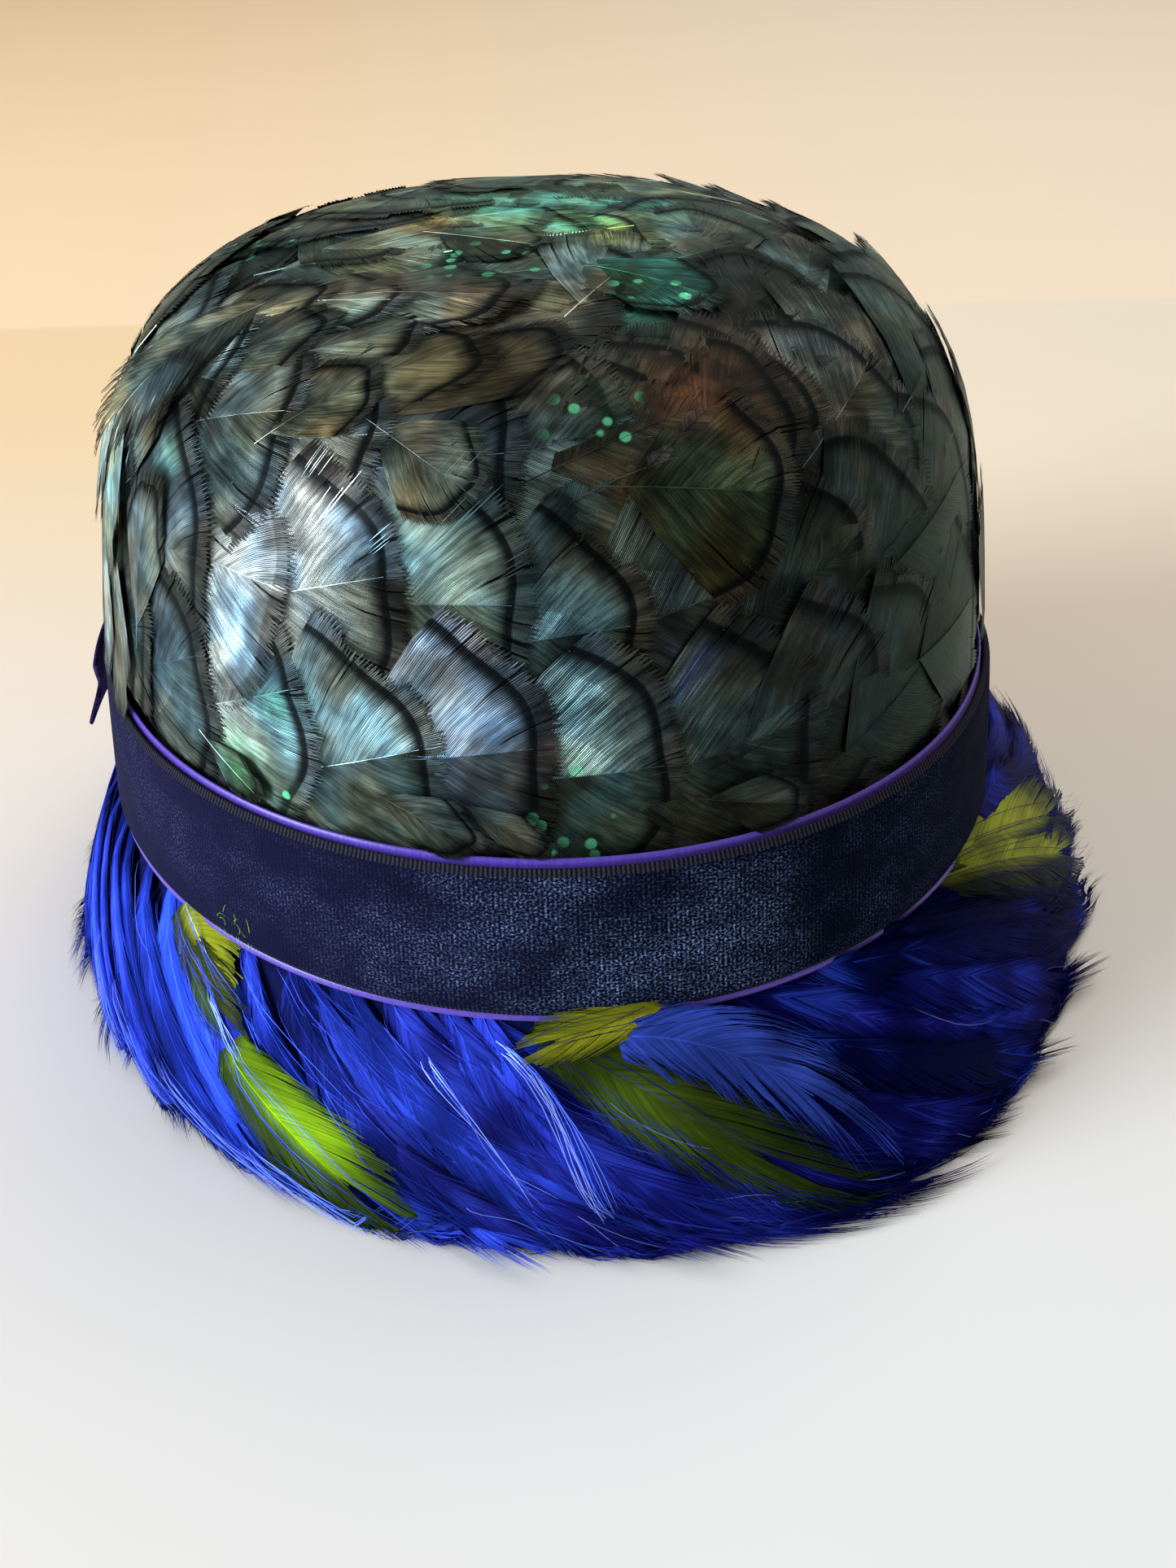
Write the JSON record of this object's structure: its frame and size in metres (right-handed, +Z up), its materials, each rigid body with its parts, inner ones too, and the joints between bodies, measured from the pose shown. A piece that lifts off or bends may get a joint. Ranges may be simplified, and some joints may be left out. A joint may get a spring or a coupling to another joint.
{
  "type": "feather cloche hat",
  "caption": "Cloche hat with a tall boxy dome skinned in dark iridescent feathers, a velvet band over a violet ribbon, a bow at the back left and a steep brim of swirling blue plumes.",
  "frame": {"origin": "On the table, in the middle of the hat's box seen from above, which is the middle of the brim.", "axes": "+Z is up out of the crown's top, -Y is the side that the picture shows, +X is that side's right. The bow is at the left and a little behind."},
  "size_m": [0.2386, 0.2488, 0.1489],
  "materials": {
    "black_felt": "matt black wool felt",
    "dark_feather": "glossy dark feather with a green and bronze sheen",
    "blue_plume": "soft dyed plume, royal blue with lime accents",
    "violet_satin": "satin ribbon with a picot edge",
    "navy_velvet": "short-pile velvet, midnight navy",
    "purple_velvet": "short-pile velvet, dark purple"
  },
  "bodies": {
    "root": {"crown_side": "black_felt", "crown_tip": "black_felt", "crown_feathers": "dark_feather", "brim_base": "black_felt", "brim_plumes": "blue_plume", "violet_ribbon": "violet_satin", "velvet_band": "navy_velvet", "bow_knot": "purple_velvet", "bow_loop_front": "purple_velvet", "bow_loop_back": "purple_velvet", "bow_tail": "purple_velvet"}
  },
  "joints": []
}
